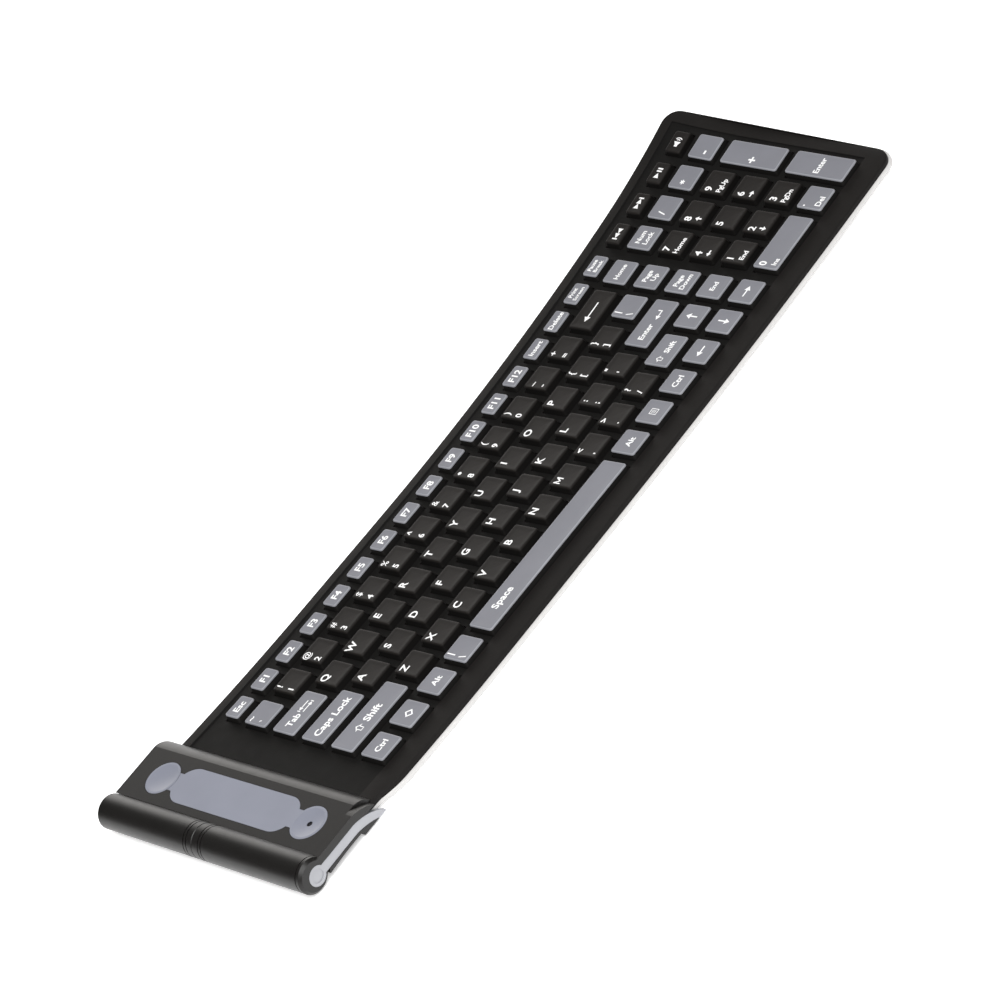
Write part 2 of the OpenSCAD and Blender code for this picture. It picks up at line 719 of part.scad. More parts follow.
module batteries() {
  color([0.35, 0.55, 0.4]) place_housing() for (i = [0:1]) {
    tube_at(cell_front + i * cell_l, cell_front + (i + 1) * cell_l - 0.8, cell_r);
    tube_at(cell_front + (i + 1) * cell_l - 0.9, cell_front + (i + 1) * cell_l, 1.9);
  }
}

module battery_cap() {
  r = tube_r;
  color(shell_black) place_housing() difference() {
    translate([tube_x, seam_y + 0.2, tube_z]) rotate([-90, 0, 0]) rotate_extrude($fn = 96)
      polygon([[0, 0], [r - 0.4, 0], [r, 0.4], [r, half - seam_y - 1.4], [r - 1.2, half - seam_y - 0.2],
               [0, half - seam_y - 0.2]]);
    tube_at(seam_y, cap_floor, barrel_r + cap_fit);
    groove_ring(seam_y + 3.8, 0.35);
    groove_ring(seam_y + 5.6, 0.35);
  }
}

module front_contact() {
  color("gold") place_housing() tube_at(cell_front - 0.85, cell_front - 0.05, 4.5);
}

module cap_contact() {
  color("gold") place_housing() tube_at(cap_floor - 0.4, cap_floor - 0.02, 4.8);
}

// A compression spring between the cap's contact and the second cell
module battery_spring() {
  turns = 6;
  per_turn = 12;
  wire_r = 0.35;
  start = cell_front + 2 * cell_l + wire_r + 0.05;
  length = cap_floor - 0.45 - wire_r - start;
  rings = turns * per_turn;
  color("silver") place_housing() polyhedron(
    points = [for (i = [0:rings], j = [0:5])
      let (a = i * 360 / per_turn, t = i / rings, coil_r = 2.6 + 1.6 * t, b = j * 60,
           r = coil_r + wire_r * cos(b))
      [tube_x + r * cos(a), start + length * t + wire_r * sin(b), tube_z + r * sin(a)]],
    faces = concat([[for (j = [0:5]) j]], [[for (j = [5:-1:0]) rings * 6 + j]],
      [for (i = [0:rings - 1], j = [0:5], h = [0:1])
        let (k = (j + 1) % 6, p = i * 6, q = p + 6) h == 0 ? [p + j, q + j, q + k] : [p + j, q + k, p + k]]));
}

// ---------- electronics ----------
board_x = -52.5;
board_w = 14;
board_half = 52;

module circuit_board() {
  color([0.1, 0.35, 0.2]) place_housing() difference() {
    translate([board_x, -board_half, board_z]) cube([board_w, 2 * board_half, board_t - 0.02]);
    for (y = [-20, 20]) translate([screw_x, y, 0]) cylinder(r = screw_r + 0.2, h = 20);
  }
}

board_top = board_z + board_t;

module controller_chip() {
  color([0.12, 0.12, 0.13]) place_housing() translate([-50, -6, board_top]) cube([8, 8, 1.2]);
}

module radio_module() {
  color([0.7, 0.7, 0.72]) place_housing() {
    translate([-51.5, 26, board_top]) cube([11, 10, 0.8]);
    translate([-50.5, 27, board_top + 0.8]) cube([7, 8, 0.9]);
  }
}

module tact_switch() {
  color([0.3, 0.3, 0.3]) place_housing() {
    translate([inlay_x - 2.2, disc_y - 2.2, board_top]) cube([4.4, 4.4, 1.3]);
    translate([inlay_x, disc_y, board_top + 1.2])
      cylinder(r = 1.2, h = saddle_top - 2.8 - button_travel - board_top - 1.2);
  }
}

module status_led() {
  color("white") place_housing() translate([inlay_x - 1, -disc_y - 0.8, board_top]) cube([2, 1.6, 1.4]);
}

module clamp_bar() {
  color([0.6, 0.6, 0.6]) place_housing() along_y(-55, 55)
    polygon([[clamp_x - 2.4, lift(clamp_x - 2.4) + rim_n + 0.03], [clamp_x + 2.4, lift(clamp_x + 2.4) + rim_n + 0.03],
             [clamp_x + 2.4, clamp_top - 0.02], [clamp_x - 2.4, clamp_top - 0.02]]);
}

module screws() {
  color("silver") place_housing() for (y = screw_ys) translate([screw_x, y, arch_top]) {
    cylinder(r = screw_head_r, h = screw_head_t);
    cylinder(r = screw_r, h = screw_tip_z - arch_top);
  }
}

module feet() {
  color([0.1, 0.1, 0.1]) place_housing() for (side = [-1, 1])
    translate([-33.6, side * 38 - 16, 0]) cube([6, 32, foot_z]);
}

top_shell();
bottom_shell();
side_trim_front();
side_trim_rear();
inlay_panel();
power_button();
indicator_lens();
battery_barrel();
batteries();
battery_cap();
battery_spring();
front_contact();
cap_contact();
circuit_board();
controller_chip();
radio_module();
tact_switch();
status_led();
clamp_bar();
screws();
feet();
top_skin_root();
membrane_root();
base_skin_root();
top_skin_main();
membrane_main();
base_skin_main();
top_skin_nav();
membrane_nav();
base_skin_nav();
top_skin_pad();
membrane_pad();
base_skin_pad();
top_skin_end();
membrane_end();
base_skin_end();
esc_key();
tab_key();
caps_lock_key();
left_shift_key();
space_key();
backspace_key();
enter_key();
right_shift_key();
function_keys();
number_keys();
upper_letter_keys();
home_row_keys();
lower_letter_keys();
modifier_keys();
symbol_keys();
arrow_keys();
navigation_keys();
pad_digit_keys();
pad_lock_keys();
pad_zero_key();
end_digit_keys();
end_symbol_keys();
pad_plus_key();
pad_enter_key();
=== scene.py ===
import math

import bpy
from mathutils import Matrix, Vector
from mathutils.geometry import delaunay_2d_cdt


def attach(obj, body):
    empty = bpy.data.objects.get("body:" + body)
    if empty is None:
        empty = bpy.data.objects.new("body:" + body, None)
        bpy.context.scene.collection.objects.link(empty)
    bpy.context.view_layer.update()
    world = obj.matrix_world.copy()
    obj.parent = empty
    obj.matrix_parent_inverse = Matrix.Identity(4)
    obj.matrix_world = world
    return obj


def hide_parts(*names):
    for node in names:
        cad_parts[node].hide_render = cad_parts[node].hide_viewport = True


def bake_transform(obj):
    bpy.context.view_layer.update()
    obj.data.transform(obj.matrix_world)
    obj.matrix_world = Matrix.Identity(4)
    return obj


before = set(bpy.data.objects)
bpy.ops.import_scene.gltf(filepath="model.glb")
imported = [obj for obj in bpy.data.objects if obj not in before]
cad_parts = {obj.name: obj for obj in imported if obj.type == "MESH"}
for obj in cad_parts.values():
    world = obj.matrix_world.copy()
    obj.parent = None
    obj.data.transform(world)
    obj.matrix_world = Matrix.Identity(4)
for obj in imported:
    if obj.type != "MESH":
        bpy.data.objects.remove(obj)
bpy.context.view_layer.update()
MM = 0.001

# ---------------------------------------------------------------- the mat's layout, in millimetres
# s runs along the mat from the centre of the Esc key, y across it, n up from its underside.
KEY_W, KEY_D = 12.8, 13.2
FN_W, FN_D = 11.4, 8.0
LETTER_PITCH, KEY_PITCH, MODIFIER_PITCH = 18.05, 17.9, 18.2
ROW_PITCH, FN_GAP = 18.4, 16.0
ROW = [(k - 2.5) * ROW_PITCH + 2.3 for k in range(5)]
FN_ROW = ROW[4] + FN_GAP
NUMBER_START, UPPER_START, HOME_START, LOWER_START = 18.9, 27.8, 32.6, 41.9
GAP = KEY_PITCH - KEY_W
LEFT_EDGE = -KEY_W / 2
BACKSPACE_W = 22.4
MAIN_EDGE = NUMBER_START + 11 * LETTER_PITCH + KEY_W / 2 + GAP + BACKSPACE_W
NAV_S = MAIN_EDGE + GAP + KEY_W / 2
PAD_S = NAV_S + KEY_PITCH + 2.6
FN_PITCH = (NAV_S + 1.2) / 16
FAR_MARGIN = 17.3
FAR_EDGE = PAD_S + 3 * KEY_PITCH + FAR_MARGIN
MAT_START = -34.0
HALF_W = 62.3
CORNER_R = 8.5
LEDGE = 1.2
ROOT_NARROWING = 2.4
ROOT_CURVE_START, ROOT_CURVE_LENGTH, ROOT_CURVE_POWER = -8.0, 13.0, 1.6
REAR_ROOT_START = -24.0
FIELD_START, FIELD_END = -28.0, FAR_EDGE - 6.6
FIELD_FRONT, FIELD_REAR = HALF_W - 11.2, HALF_W - 5.4
FIELD_STEP = 0.35

# Levels above the underside
BASE_T = 1.8
FILM_N = 2.2
FIELD_N = 4.0
RIM_N = 4.5
KEY_N = 7.2
CAP_N = 6.4
FOOT_N = 3.65
DRAFT = 0.16
PLAY = 0.35

# Fold lines
FOLD_ROOT = -15.0
FOLD_NAV = (15 * FN_PITCH + FN_W / 2 + NAV_S - KEY_W / 2) / 2
FOLD_PAD = (16 * FN_PITCH + FN_W / 2 + PAD_S - KEY_W / 2) / 2
FOLD_END = PAD_S + 1.5 * KEY_PITCH

# Rest shape: a rise towards the housing, a flat middle, a curl and a twist towards the far end, and a far
# rear corner that rises a little more
NEAR_R, NEAR_END = 1600.0, 60.0
FAR_R, FAR_START = 2000.0, 115.0
TWIST_END, TWIST_START = math.radians(7.3), 105.0
CURL_H, CURL_START = 3.4, 290.0
TUBE_X, TUBE_R = -63.2, 7.5
HOUSING_HALF, HOUSING_SHIFT = 65.5, 3.2


def pitch(s):
    if s < NEAR_END:
        return (s - NEAR_END) / NEAR_R
    return (s - FAR_START) / FAR_R if s > FAR_START else 0.0


def run(s):
    flat = NEAR_R * math.sin(NEAR_END / NEAR_R)
    if s < NEAR_END:
        return flat + NEAR_R * math.sin(pitch(s))
    if s > FAR_START:
        return flat + FAR_START - NEAR_END + FAR_R * math.sin(pitch(s))
    return flat + s - NEAR_END


def lift(s):
    radius = NEAR_R if s < NEAR_END else FAR_R
    return radius * (1 - math.cos(pitch(s)))


def twist(s):
    return TWIST_END * ((s - TWIST_START) / (FAR_EDGE - TWIST_START)) ** 2 if s > TWIST_START else 0.0


def corner_rise(s, y):
    if s <= CURL_START or y <= 0:
        return 0.0
    return CURL_H * (y / HALF_W * (s - CURL_START) / (FAR_EDGE - CURL_START)) ** 2


def skew(s, y):
    if s <= TWIST_START:
        return 0.0
    slope = y * 2 * TWIST_END * (s - TWIST_START) / (FAR_EDGE - TWIST_START) ** 2
    return math.atan(slope + corner_rise(s, y) * 2 / max(s - CURL_START, 1))


def roll(s, y):
    return math.atan(corner_rise(s, y) * 2 / max(y, 1))


def mat_point(s, y, n):
    up = y * math.sin(twist(s)) + n * math.cos(twist(s))
    return Vector((run(s) - up * math.sin(pitch(s)),
                   y * math.cos(twist(s)) - n * math.sin(twist(s)),
                   lift(s) + up * math.cos(pitch(s)) + corner_rise(s, y)))


ORIGIN = Vector(((TUBE_X - TUBE_R + mat_point(FAR_EDGE + LEDGE, CORNER_R - HALF_W, 0.5).x) / 2,
                 (HOUSING_HALF + HOUSING_SHIFT - HALF_W - LEDGE) / 2, 0))


def at(s, y, n):
    """A point of the mat in the row frame, in metres."""
    return (mat_point(s, y, n) - ORIGIN) * MM


def key_frame(s, y):
    """The frame of a key, millimetres in and metres out: origin on the mat's underside, z out of the mat."""
    turn = (Matrix.Rotation(-pitch(s), 4, "Y") @ Matrix.Rotation(twist(s) + roll(s, y), 4, "X")
            @ Matrix.Rotation(-skew(s, y), 4, "Y"))
    return Matrix.Translation(at(s, y, 0)) @ turn @ Matrix.Scale(MM, 4)


# ---------------------------------------------------------------- key layout
def single(s, y):
    return (s, y, KEY_W, KEY_D)


def small(s):
    return (s, FN_ROW, FN_W, FN_D)


def between(a, b, y):
    return ((a + b) / 2, y, b - a, KEY_D)


def tall(s, row):
    return (s, (ROW[row] + ROW[row + 1]) / 2, KEY_W, ROW_PITCH + KEY_D)


def pad(column):
    return PAD_S + column * KEY_PITCH


BANKS = {
    "esc_key": [small(0)],
    "tab_key": [between(LEFT_EDGE, UPPER_START - KEY_W / 2 - GAP, ROW[3])],
    "caps_lock_key": [between(LEFT_EDGE, HOME_START - KEY_W / 2 - GAP, ROW[2])],
    "left_shift_key": [between(LEFT_EDGE, LOWER_START - KEY_W / 2 - GAP, ROW[1])],
    "space_key": [between(3 * MODIFIER_PITCH + KEY_W / 2 + GAP,
                          NAV_S - 5 * KEY_PITCH - KEY_W / 2 - GAP, ROW[0])],
    "backspace_key": [between(MAIN_EDGE - BACKSPACE_W, MAIN_EDGE, ROW[4])],
    "enter_key": [between(HOME_START + 10 * LETTER_PITCH + KEY_W / 2 + GAP, MAIN_EDGE, ROW[2])],
    "right_shift_key": [between(LOWER_START + 9 * LETTER_PITCH + KEY_W / 2 + GAP,
                                MAIN_EDGE - KEY_W - GAP, ROW[1])],
    "function_keys": [small(k * FN_PITCH) for k in range(1, 16)],
    "number_keys": [single(NUMBER_START + k * LETTER_PITCH, ROW[4]) for k in range(12)],
    "upper_letter_keys": [single(UPPER_START + k * LETTER_PITCH, ROW[3]) for k in range(12)],
    "home_row_keys": [single(HOME_START + k * LETTER_PITCH, ROW[2]) for k in range(11)],
    "lower_letter_keys": [single(LOWER_START + k * LETTER_PITCH, ROW[1]) for k in range(10)],
    "modifier_keys": [single(k * MODIFIER_PITCH, ROW[0]) for k in range(4)]
    + [single(NAV_S - k * KEY_PITCH, ROW[0]) for k in (5, 4, 3)],
    "symbol_keys": [single(0, ROW[4]), single(MAIN_EDGE - KEY_W / 2, ROW[3])],
    "arrow_keys": [single(NAV_S - 2 * KEY_PITCH, ROW[0]), single(NAV_S - KEY_PITCH, ROW[0]),
                   single(NAV_S - KEY_PITCH, ROW[1])],
    "navigation_keys": [small(16 * FN_PITCH)] + [single(NAV_S, ROW[k]) for k in (4, 3, 2, 1, 0)],
    "pad_digit_keys": [single(pad(c), ROW[k]) for c in (0, 1) for k in (3, 2, 1)]
    + [small(pad(0)), small(pad(1))],
    "pad_lock_keys": [single(pad(0), ROW[4]), single(pad(1), ROW[4])],
    "pad_zero_key": [between(pad(0) - KEY_W / 2, pad(1) + KEY_W / 2, ROW[0])],
    "end_digit_keys": [single(pad(2), ROW[k]) for k in (3, 2, 1)] + [small(pad(2)), small(pad(3))],
    "end_symbol_keys": [single(pad(2), ROW[4]), single(pad(3), ROW[4]), single(pad(2), ROW[0])],
    "pad_plus_key": [tall(pad(3), 2)],
    "pad_enter_key": [tall(pad(3), 0)],
}
ALL_BLACK = {"backspace_key", "number_keys", "upper_letter_keys", "home_row_keys", "lower_letter_keys",
             "pad_digit_keys", "end_digit_keys"}


def opening(key):
    """Half width and half depth of the opening that a key moves in."""
    grow = DRAFT * (KEY_N - FOOT_N) + PLAY
    return key[2] / 2 + grow, key[3] / 2 + grow


# ---------------------------------------------------------------- materials
def material(name, color, roughness, metallic=0.0, bump=0.0, bump_scale=900.0, mottle=0.0, mottle_scale=60.0,
             rough_spread=0.0, coat=0.0, specular=0.5):
    """A procedural finish: colour mottle, roughness spread and fine bump, all from noise in object space."""
    m = bpy.data.materials.new(name)
    m.use_nodes = True
    nodes, links = m.node_tree.nodes, m.node_tree.links
    shader = nodes["Principled BSDF"]
    shader.inputs["Base Color"].default_value = (*color, 1)
    shader.inputs["Roughness"].default_value = roughness
    shader.inputs["Metallic"].default_value = metallic
    shader.inputs["Specular IOR Level"].default_value = specular
    shader.inputs["Coat Weight"].default_value = coat
    shader.inputs["Coat Roughness"].default_value = 0.25
    place = nodes.new("ShaderNodeTexCoord")

    def noise(scale, detail):
        texture = nodes.new("ShaderNodeTexNoise")
        texture.inputs["Scale"].default_value = scale
        texture.inputs["Detail"].default_value = detail
        links.new(place.outputs["Object"], texture.inputs["Vector"])
        return texture.outputs["Fac"]

    if mottle:
        ramp = nodes.new("ShaderNodeValToRGB")
        ramp.color_ramp.elements[0].position = 0.3
        ramp.color_ramp.elements[1].position = 0.7
        ramp.color_ramp.elements[0].color = (*[c * (1 - mottle) for c in color], 1)
        ramp.color_ramp.elements[1].color = (*[min(1, c * (1 + mottle)) for c in color], 1)
        links.new(noise(mottle_scale, 4), ramp.inputs["Fac"])
        links.new(ramp.outputs["Color"], shader.inputs["Base Color"])
    if rough_spread:
        spread = nodes.new("ShaderNodeMapRange")
        spread.inputs["To Min"].default_value = roughness - rough_spread
        spread.inputs["To Max"].default_value = roughness + rough_spread
        links.new(noise(mottle_scale * 3, 2), spread.inputs["Value"])
        links.new(spread.outputs["Result"], shader.inputs["Roughness"])
    if bump:
        height = nodes.new("ShaderNodeBump")
        height.inputs["Strength"].default_value = bump
        height.inputs["Distance"].default_value = 0.0001
        links.new(noise(bump_scale, 3), height.inputs["Height"])
        links.new(height.outputs["Normal"], shader.inputs["Normal"])
    return m


skin_black = material("skin_black", (0.0082, 0.0072, 0.0066), 0.6, bump=0.25, mottle=0.08, rough_spread=0.05,
                      specular=0.15)
# The recessed key field is a darker copy of the skin's black: painted shade between the keys
field_black_shaded = material("field_black_shaded", (0.0055, 0.0052, 0.0048), 0.65, bump=0.25, mottle=0.08,
                       rough_spread=0.05, specular=0.12)
key_black = material("key_black", (0.0125, 0.0110, 0.0101), 0.5, bump=0.25, mottle=0.06, rough_spread=0.05,
                     specular=0.15)
# Key walls, darker than the tops: the black walls under the grey tops are real, and the extra darkness on
# every wall is painted shade
key_side_shaded = material("key_side_shaded", (0.0065, 0.006, 0.0056), 0.6, bump=0.25, mottle=0.06, specular=0.15)
key_grey = material("key_grey", (0.169, 0.172, 0.194), 0.55, bump=0.2, mottle=0.04, rough_spread=0.05)
# A lighter grey for the rounded edge of each grey top: painted highlight where the edge catches light
key_rim_highlight = material("key_rim_highlight", (0.27, 0.275, 0.30), 0.5, bump=0.2, mottle=0.06, rough_spread=0.05)
skin_pale = material("skin_pale", (0.60, 0.59, 0.58), 0.6, bump=0.2, mottle=0.03, rough_spread=0.05)
film_dark = material("film_dark", (0.012, 0.012, 0.012), 0.5, mottle=0.1)
legend_white = material("legend_white", (0.86, 0.86, 0.86), 0.5, mottle=0.02)
shell_black = material("shell_black", (0.0052, 0.0046, 0.0041), 0.40, bump=0.12, bump_scale=1600, mottle=0.06,
                       rough_spread=0.04, specular=0.45)
inlay_grey = material("inlay_grey", (0.20, 0.21, 0.255), 0.42, bump=0.1, bump_scale=1600, mottle=0.03,
                      rough_spread=0.04)
trim_light = material("trim_light", (0.36, 0.365, 0.39), 0.4, bump=0.08, mottle=0.03, rough_spread=0.04)
lens_dark = material("lens_dark", (0.01, 0.01, 0.012), 0.12, mottle=0.05, coat=0.3)
steel = material("steel", (0.55, 0.55, 0.55), 0.3, metallic=1.0, bump=0.1, mottle=0.05)
contact_gold = material("contact_gold", (0.75, 0.58, 0.28), 0.3, metallic=1.0, mottle=0.05)
cell_wrap = material("cell_wrap", (0.10, 0.25, 0.14), 0.35, mottle=0.08, bump=0.05)
board_green = material("board_green", (0.02, 0.12, 0.06), 0.4, mottle=0.2, mottle_scale=400, bump=0.1)
chip_black = material("chip_black", (0.015, 0.015, 0.015), 0.5, bump=0.1, mottle=0.1)
foot_rubber = material("foot_rubber", (0.02, 0.02, 0.02), 0.8, bump=0.3, mottle=0.1)

NODE_FINISH = {
    "top_shell": shell_black, "bottom_shell": shell_black, "battery_cap": shell_black,
    "side_trim_front": trim_light, "side_trim_rear": trim_light, "inlay_panel": inlay_grey,
    "power_button": inlay_grey, "indicator_lens": lens_dark, "battery_barrel": chip_black,
    "batteries": cell_wrap, "front_contact": contact_gold, "cap_contact": contact_gold,
    "battery_spring": steel, "circuit_board": board_green, "controller_chip": chip_black,
    "radio_module": steel, "tact_switch": chip_black, "status_led": legend_white, "clamp_bar": steel,
    "screws": steel, "feet": foot_rubber, "membrane_root": film_dark,
}
for node, finish in NODE_FINISH.items():
    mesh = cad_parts[node].data
    mesh.materials.clear()
    mesh.materials.append(finish)


# ---------------------------------------------------------------- building helpers
def new_object(name, points, faces, finishes, face_finish=None, sharp=30.0):
    mesh = bpy.data.meshes.new(name)
    mesh.from_pydata([tuple(p) for p in points], [], faces)
    for finish in finishes:
        mesh.materials.append(finish)
    if face_finish:
        mesh.polygons.foreach_set("material_index", face_finish)
    mesh.update()
    mesh.shade_smooth()
    mesh.set_sharp_from_angle(angle=math.radians(sharp))
    obj = bpy.data.objects.new(name, mesh)
    bpy.context.scene.collection.objects.link(obj)
    return obj


def half_width(s, grow=0.0, side=-1):
    """Half width of the black skin, or of the base skin with its ledge where grow is the ledge's width.

    The front side, -1, narrows in a curve towards the housing, and the rear side, 1, only inside its slot."""
    if s >= ROOT_CURVE_START:
        return HALF_W + grow
    reach = (ROOT_CURVE_START - s) / ROOT_CURVE_LENGTH
    curve = min(1, reach) ** ROOT_CURVE_POWER if side < 0 else max(0.0, min(1.0, REAR_ROOT_START - s))
    return HALF_W - ROOT_NARROWING * curve + grow * max(0, 1 - reach)


def edge_distance(s, y, grow=0.0):
    """How far a point of the mat lies inside its outline."""
    across = half_width(s, grow, math.copysign(1, y)) - abs(y)
    along = FAR_EDGE + grow - s
    radius = CORNER_R + grow
    if across < radius and along < radius:
        return radius - math.hypot(radius - across, radius - along)
    return min(across, along)


def field_distance(s, y):
    """How far a point lies inside the recessed key field, negative on the border."""
    return min(s - FIELD_START, FIELD_END - s, y + FIELD_FRONT, FIELD_REAR - y)


def inset_outline(d, grow):
    """The mat's outline drawn in by d, as an open run of points from the rear root to the front root."""
    radius = CORNER_R + grow - d
    root = (MAT_START, -30, -26, -25, -24, -22, -20, -18, -16, -14, -12, -10, -8)
    corner = [(FAR_EDGE - CORNER_R + radius * math.sin(a), HALF_W - CORNER_R + radius * math.cos(a))
              for a in [math.radians(k * 10) for k in range(10)]]
    rear = [(s, half_width(s, grow, 1) - d) for s in root] + corner
    front = [(s, half_width(s, grow, -1) - d) for s in root] + corner
    return rear + [(s, -y) for s, y in reversed(front)]


def fine_places(fold, reach, count):
    return [fold - reach + 2 * reach * k / count for k in range(count + 1)]


# Each fold line, half the length that bends there, and the bodies on its two sides
FOLDS = [(FOLD_ROOT, 4.6, "housing", "mat_main"), (FOLD_NAV, 2.1, "mat_main", "mat_nav"),
         (FOLD_PAD, 2.6, "mat_nav", "mat_pad"), (FOLD_END, 2.2, "mat_pad", "mat_end")]
SEAMS = [MAT_START, FOLD_NAV - 2.4, NAV_S, PAD_S + KEY_PITCH / 2, FAR_EDGE + 2]
# Lines across the mat, along which it can bend
CROSS_STEP = 6.0
cross_places = sorted(set(
    [k * CROSS_STEP for k in range(-1, int(FAR_EDGE / CROSS_STEP))] + [-30, -26, -22] + SEAMS[1:-1]
    + [p for fold, reach, _, _ in FOLDS for p in fine_places(fold, reach, 12)]))
all_keys = [key for keys in BANKS.values() for key in keys]


def bend(obj):
    """Bake the placement of a piece of the mat into its mesh."""
    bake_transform(obj)


def plan_mesh(insets, grow, holes, inside):
    """Triangles over the mat's plan, with outlines drawn in by insets, open holes and lines to bend along."""
    points, edges = [], []

    def add_run(run_points, closed):
        first = len(points)
        points.extend(Vector(p) for p in run_points)
        count = len(run_points)
        edges.extend((first + k, first + (k + 1) % count) for k in range(count if closed else count - 1))

    for d in insets:
        add_run(inset_outline(d, grow), True)
    if holes:
        for d in (0.0, FIELD_STEP, 0.9):
            front, rear = d - FIELD_FRONT, FIELD_REAR - d
            add_run([(FIELD_START + d, front), (FIELD_END - d, front),
                     (FIELD_END - d, rear), (FIELD_START + d, rear)], True)
        for key in all_keys:
            a, b = opening(key)
            s, y = key[:2]
            add_run([(s - a, y - b), (s + a, y - b), (s + a, y + b), (s - a, y + b)], True)
    for s in cross_places:
        if s < FAR_EDGE - 0.5:
            front, rear = half_width(s, grow, -1), half_width(s, grow, 1)
            if s > FAR_EDGE - CORNER_R:
                past = s - FAR_EDGE + CORNER_R
                front = rear = HALF_W - CORNER_R + math.sqrt(max(0, (CORNER_R + grow) ** 2 - past ** 2))
            add_run([(s, -front), (s, rear)], False)
    for y in (-45, -30, -15, 0, 15, 30, 45):
        add_run([(MAT_START, y), (FAR_EDGE - 0.5, y)], False)
    plan, _, triangles, _, _, _ = delaunay_2d_cdt(points, edges, [], 0, 0.0005)
    keep = [t for t in triangles if inside(sum(plan[i].x for i in t) / 3, sum(plan[i].y for i in t) / 3)]
    return plan, keep


def mat_skin(label, finishes, insets, grow, holes, surface, wall, choose=None, lid=None):
    """One skin of the mat, cut into four pieces at its seams.

    Its face lies at the level surface(s, y), and walls along every open edge run up or down to the level
    wall(s, y). choose(s, y) picks the finish, and lid(s, y) says where the far side is closed too."""
    def inside(s, y):
        if edge_distance(s, y, grow) < 0:
            return False
        return not holes or not any(abs(s - key[0]) < opening(key)[0] and abs(y - key[1]) < opening(key)[1]
                                    for key in all_keys)

    plan, triangles = plan_mesh(insets, grow, holes, inside)
    counts = {}
    for t in triangles:
        for k in range(3):
            edge = (t[k], t[(k + 1) % 3])
            counts.setdefault(tuple(sorted(edge)), []).append(edge)
    rim = [runs[0] for runs in counts.values() if len(runs) == 1 and not (
        plan[runs[0][0]].x < MAT_START + 0.01 and plan[runs[0][1]].x < MAT_START + 0.01)]
    middle = [(sum(plan[i].x for i in t) / 3, sum(plan[i].y for i in t) / 3) for t in triangles]
    faces = [(tuple((i, 0) for i in t), choose(*c) if choose else 0) for t, c in zip(triangles, middle)]
    faces += [(((b, 0), (a, 0), (a, 1), (b, 1)), 0) for a, b in rim]
    if lid:
        faces += [(tuple((i, 1) for i in reversed(t)), 0) for t, c in zip(triangles, middle) if lid(*c)]
    upside_down = wall(100, 0) > surface(100, 0)
    pieces = []
    for k in range(len(FOLDS)):
        index, points, corners, picks = {}, [], [], []
        for f, pick in faces:
            if not SEAMS[k] <= sum(plan[i].x for i, _ in f) / len(f) < SEAMS[k + 1]:
                continue
            for i, side in f:
                if (i, side) not in index:
                    index[(i, side)] = len(points)
                    s, y = plan[i]
                    points.append(at(s, y, wall(s, y) if side else surface(s, y)))
            corners.append([index[c] for c in (reversed(f) if upside_down else f)])
            picks.append(pick)
        obj = new_object(f"{label}_{k}", points, corners, finishes, picks)
        bend(obj)
        pieces.append(obj)
    return pieces


# ---------------------------------------------------------------- the mat
EDGE_ROUND = 0.9
BASE_ROUND = 0.7
LEDGE_ROUND = 0.3
TOP_INSETS = [0, 0.1, 0.28, 0.55, EDGE_ROUND]
BASE_INSETS = [0, 0.1, LEDGE_ROUND, BASE_ROUND, LEDGE + 0.4]


def rounded_level(d, radius):
    return radius - math.sqrt(max(0, radius ** 2 - (radius - min(d, radius)) ** 2))


def top_level(s, y):
    d = edge_distance(s, y)
    inner = field_distance(s, y)
    border = RIM_N - rounded_level(d, EDGE_ROUND)
    if inner <= 0:
        return border
    return border + (FIELD_N - border) * min(1.0, inner / FIELD_STEP)


def base_level(s, y):
    return rounded_level(edge_distance(s, y, LEDGE), BASE_ROUND)


def ledge_level(s, y):
    return FILM_N - rounded_level(edge_distance(s, y, LEDGE), LEDGE_ROUND)


STRETCHES = ["main", "nav", "pad", "end"]
# Inside the key field the top skin takes the darker black of painted shade
top_skins = mat_skin("top_skin", [skin_black, field_black_shaded], TOP_INSETS, 0.0, True,
                     top_level, lambda s, y: FILM_N, lambda s, y: int(field_distance(s, y) > 0))
base_skins = mat_skin("base_skin", [skin_pale], BASE_INSETS, LEDGE, False,
                      base_level, ledge_level, lid=lambda s, y: edge_distance(s, y) < 0.4)


def film_piece(k):
    """The printed film of one piece of the mat, a thin strip between the skins."""
    places = [p for p in cross_places if SEAMS[k] <= p <= SEAMS[k + 1] and -30 <= p < FAR_EDGE - 6]
    across = [(HALF_W - 8) * j / 4 for j in range(-4, 5)]
    section = [(y, BASE_T) for y in across] + [(y, FILM_N - 0.02) for y in reversed(across)]
    size = len(section)
    points = [at(s, y, n) for s in places for y, n in section]
    faces = [(size * i + j, size * i + size + j, size * i + size + (j + 1) % size, size * i + (j + 1) % size)
             for i in range(len(places) - 1) for j in range(size)]
    last = size * (len(places) - 1)
    for j in range(len(across) - 1):
        end = (j, j + 1, size - 2 - j, size - 1 - j)
        faces += [end, tuple(last + i for i in reversed(end))]
    obj = new_object(f"film_{k}", points, faces, [film_dark])
    bend(obj)
    return obj


for k, stretch in enumerate(STRETCHES):
    film = film_piece(k)
    for obj, kind in ((top_skins[k], "top_skin"), (base_skins[k], "base_skin"), (film, "membrane")):
        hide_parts(f"{kind}_{stretch}")
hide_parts("top_skin_root")
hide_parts("base_skin_root")


# ---------------------------------------------------------------- keys
def rounded_rectangle(w, d, r, n, steps=4):
    corners = ((w / 2 - r, d / 2 - r, 0), (r - w / 2, d / 2 - r, 90),
               (r - w / 2, r - d / 2, 180), (w / 2 - r, r - d / 2, 270))
    return [Vector((x + r * math.cos(math.radians(a + 90 * k / steps)),
                    y + r * math.sin(math.radians(a + 90 * k / steps)), n))
            for x, y, a in corners for k in range(steps + 1)]


